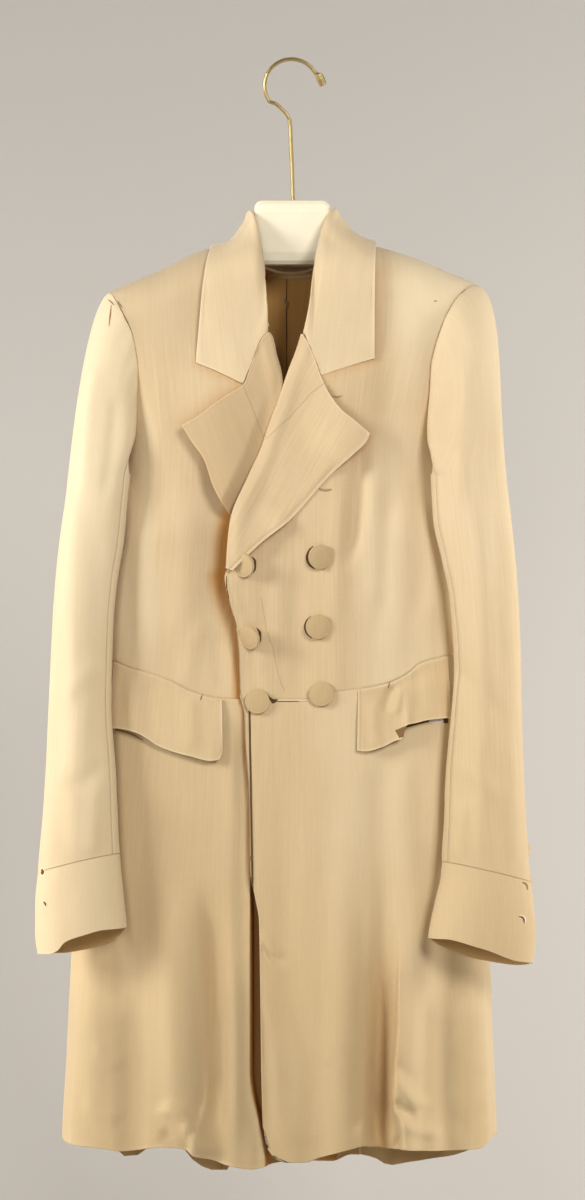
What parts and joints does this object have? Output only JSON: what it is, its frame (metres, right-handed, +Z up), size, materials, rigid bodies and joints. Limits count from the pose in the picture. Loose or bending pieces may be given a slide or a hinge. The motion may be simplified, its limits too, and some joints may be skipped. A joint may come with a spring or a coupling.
{
  "type": "frock coat on a hanger",
  "caption": "Double breasted linen frock coat hanging on an ivory hanger with a brass wire hook, fronts buttoned left over right, cuffs open.",
  "frame": {"origin": "inside top of the hanger's hook, where it rests on what holds it", "axes": "+Z up, -Y out of the coat's front, -X to the wearer's right side"},
  "size_m": [0.4979, 0.1937, 1.1286],
  "materials": {
    "linen": "plain woven linen",
    "button_cloth": "linen stretched over a button mould",
    "ivory": "smooth ivory enamel",
    "brass": "drawn brass wire"
  },
  "bodies": {
    "root": {"back_left": "linen", "back_right": "linen", "button_1": "button_cloth", "button_2": "button_cloth", "button_3": "button_cloth", "button_4": "button_cloth", "button_5": "button_cloth", "button_6": "button_cloth", "collar": "linen", "cuff_button_left_1": "button_cloth", "cuff_button_left_2": "button_cloth", "cuff_button_left_3": "button_cloth", "cuff_button_right_1": "button_cloth", "cuff_button_right_2": "button_cloth", "cuff_button_right_3": "button_cloth", "cuff_left": "linen", "cuff_right": "linen", "flap_left": "linen", "flap_right": "linen", "forepart_left": "linen", "forepart_right": "linen", "hanger_body": "ivory", "hanger_hook": "brass", "lapel_left": "linen", "lapel_right": "linen", "side_body_left": "linen", "side_body_right": "linen", "skirt_left": "linen", "skirt_right": "linen", "top_sleeve_left": "linen", "top_sleeve_right": "linen", "under_sleeve_left": "linen", "under_sleeve_right": "linen"}
  },
  "joints": []
}
